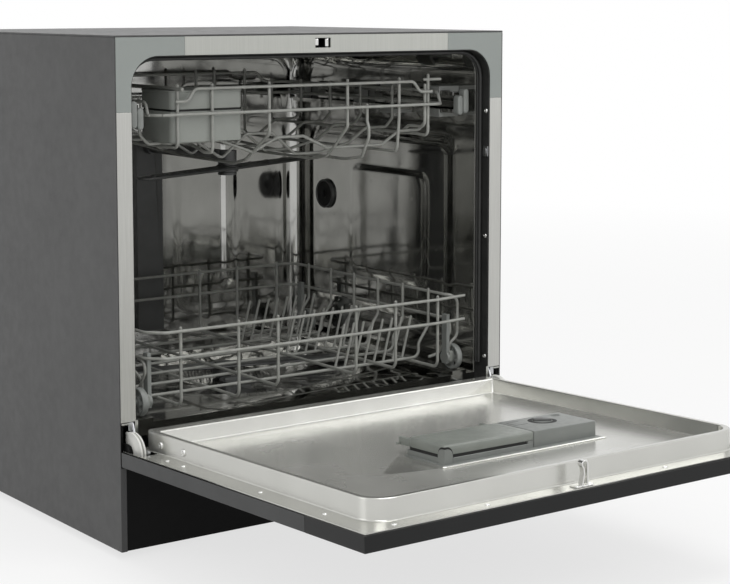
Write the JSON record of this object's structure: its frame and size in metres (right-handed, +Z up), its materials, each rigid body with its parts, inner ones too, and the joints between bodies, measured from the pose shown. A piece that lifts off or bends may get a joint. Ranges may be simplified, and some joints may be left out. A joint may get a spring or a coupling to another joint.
{
  "type": "countertop dishwasher",
  "caption": "Compact box-shaped dishwasher with its door lowered; wire racks, spray arms and a dispenser inside a steel tub.",
  "frame": {"origin": "bottom centre of the bounding box with the door open, at the feet", "axes": "+X to the right seen from the front, +Y from the door to the back, +Z up"},
  "size_m": [0.55, 0.9574, 0.585],
  "materials": {
    "enamel": "satin dark grey enamel",
    "zinc": "plain coated sheet",
    "frame_steel": "brushed upright",
    "corner_grey": "smooth satin",
    "tub_steel": "drawn stainless sheet",
    "black_plastic": "fine grained",
    "panel_black": "smooth",
    "door_enamel": "satin dark grey enamel",
    "seal_rubber": "soft black",
    "foot_rubber": "black",
    "bright_steel": "bright fasteners",
    "plated_steel": "zinc plated",
    "coated_wire": "nylon coated",
    "grey_plastic": "fine grained",
    "dark_grey_plastic": "smooth",
    "white_plastic": "smooth",
    "button_plastic": "satin",
    "board_green": "lacquered board"
  },
  "bodies": {
    "cabinet": {"side_panel_left": "enamel", "side_panel_right": "enamel", "top_panel": "enamel", "rear_cover": "zinc", "base_tray": "black_plastic", "kick_plate": "black_plastic", "feet": "foot_rubber", "tub_wrap": "tub_steel", "tub_rear_wall": "tub_steel", "tub_floor": "tub_steel", "frame_sides": "frame_steel", "frame_top": "frame_steel", "frame_corners": "corner_grey", "mouth_trim": "black_plastic", "door_seal": "seal_rubber", "trim_screws": "bright_steel", "latch_keeper": "black_plastic", "hinge_brackets": "plated_steel", "door_springs": "plated_steel", "sump": "dark_grey_plastic", "filter_plate": "tub_steel", "wash_pump": "dark_grey_plastic", "drain_pump": "black_plastic", "inlet_valve": "white_plastic", "drain_spigot": "black_plastic", "power_inlet": "black_plastic", "air_break": "white_plastic", "softener": "dark_grey_plastic", "feed_pipe": "dark_grey_plastic", "rail_guides": "grey_plastic"},
    "door": {"door_outer_panel": "door_enamel", "control_panel": "panel_black", "door_liner": "tub_steel", "hinge_arms": "plated_steel", "hinge_covers": "white_plastic", "latch_hook": "bright_steel", "dispenser_body": "grey_plastic", "control_board": "board_green"},
    "detergent_lid": {"dispenser_lid": "grey_plastic"},
    "rinse_aid_cap": {"rinse_cap": "grey_plastic"},
    "power_key": {"power_button": "button_plastic"},
    "program_key": {"program_button": "button_plastic"},
    "start_key": {"start_button": "button_plastic"},
    "upper_basket": {"upper_rack": "coated_wire", "cutlery_basket": "grey_plastic", "rack_shoes": "grey_plastic", "upper_feed_tube": "dark_grey_plastic"},
    "rails": {"upper_rails": "grey_plastic", "rail_end_caps": "grey_plastic"},
    "upper_arm": {"upper_spray_arm": "dark_grey_plastic"},
    "lower_basket": {"lower_rack": "coated_wire", "wheel_brackets": "grey_plastic"},
    "wheel_fl": {"wheel_front_left": "grey_plastic"},
    "wheel_fr": {"wheel_front_right": "grey_plastic"},
    "wheel_rl": {"wheel_rear_left": "grey_plastic"},
    "wheel_rr": {"wheel_rear_right": "grey_plastic"},
    "lower_arm": {"lower_spray_arm": "dark_grey_plastic"},
    "filter_cup": {"filter_basket": "dark_grey_plastic"},
    "salt_lid": {"salt_cap": "dark_grey_plastic"},
    "float": {"float_cup": "white_plastic"}
  },
  "joints": [
    {"name": "door_hinge", "type": "hinge", "parent": "cabinet", "child": "door", "pos_m": [0, -0.02434, 0.125], "axis": [1, 0, 0], "range_deg": [-88, 0], "deforming": ["door_springs"]},
    {"name": "lid_hinge", "type": "hinge", "parent": "door", "child": "detergent_lid", "pos_m": [0, -0.24465, 0.1487], "axis": [1, 0, 0], "range_deg": [-100, 0]},
    {"name": "rinse_cap_turn", "type": "hinge", "parent": "door", "child": "rinse_aid_cap", "pos_m": [0.108, -0.28848, 0.15424], "axis": [0, 0.0349, 0.9994], "range_deg": [0, 90]},
    {"name": "power_press", "type": "slide", "parent": "door", "child": "power_key", "axis": [0, 0.0349, 0.9994], "range_m": [0, 0.0015], "stiffness_N_per_m": 400},
    {"name": "program_press", "type": "slide", "parent": "door", "child": "program_key", "axis": [0, 0.0349, 0.9994], "range_m": [0, 0.0015], "stiffness_N_per_m": 400},
    {"name": "start_press", "type": "slide", "parent": "door", "child": "start_key", "axis": [0, 0.0349, 0.9994], "range_m": [0, 0.0015], "stiffness_N_per_m": 400},
    {"name": "upper_rack_slide", "type": "slide", "parent": "cabinet", "child": "upper_basket", "axis": [0, -1, 0], "range_m": [0, 0.38]},
    {"name": "rail_slide", "type": "slide", "parent": "cabinet", "child": "rails", "axis": [0, -1, 0], "range_m": [0, 0.19]},
    {"name": "upper_arm_spin", "type": "hinge", "parent": "upper_basket", "child": "upper_arm", "pos_m": [0, 0.19566, 0.41075], "axis": [0, 0, 1], "continuous": true},
    {"name": "lower_rack_slide", "type": "slide", "parent": "cabinet", "child": "lower_basket", "axis": [0, -1, 0], "range_m": [0, 0.34]},
    {"name": "wheel_front_left_spin", "type": "hinge", "parent": "lower_basket", "child": "wheel_fl", "pos_m": [-0.2285, 0.02066, 0.1685], "axis": [1, 0, 0], "continuous": true},
    {"name": "wheel_front_right_spin", "type": "hinge", "parent": "lower_basket", "child": "wheel_fr", "pos_m": [0.2285, 0.02066, 0.1685], "axis": [1, 0, 0], "continuous": true},
    {"name": "wheel_rear_left_spin", "type": "hinge", "parent": "lower_basket", "child": "wheel_rl", "pos_m": [-0.2285, 0.35066, 0.1685], "axis": [1, 0, 0], "continuous": true},
    {"name": "wheel_rear_right_spin", "type": "hinge", "parent": "lower_basket", "child": "wheel_rr", "pos_m": [0.2285, 0.35066, 0.1685], "axis": [1, 0, 0], "continuous": true},
    {"name": "lower_arm_spin", "type": "hinge", "parent": "cabinet", "child": "lower_arm", "pos_m": [0, 0.21066, 0.15325], "axis": [0, 0, 1], "continuous": true},
    {"name": "filter_turn", "type": "hinge", "parent": "cabinet", "child": "filter_cup", "pos_m": [0, 0.17466, 0.12], "axis": [0, 0, 1], "range_deg": [0, 90]},
    {"name": "salt_cap_turn", "type": "hinge", "parent": "cabinet", "child": "salt_lid", "pos_m": [-0.15, 0.35066, 0.15], "axis": [0, 0, 1], "range_deg": [0, 90]},
    {"name": "float_lift", "type": "slide", "parent": "cabinet", "child": "float", "axis": [0, 0, 1], "range_m": [0, 0.004]}
  ],
  "couplings": [
    {"joint": "rail_slide", "follows": "upper_rack_slide", "ratio": 0.5},
    {"joint": "wheel_front_left_spin", "follows": "lower_rack_slide", "rad_per_m": 60.606},
    {"joint": "wheel_front_right_spin", "follows": "lower_rack_slide", "rad_per_m": 60.606},
    {"joint": "wheel_rear_left_spin", "follows": "lower_rack_slide", "rad_per_m": 60.606},
    {"joint": "wheel_rear_right_spin", "follows": "lower_rack_slide", "rad_per_m": 60.606}
  ]
}
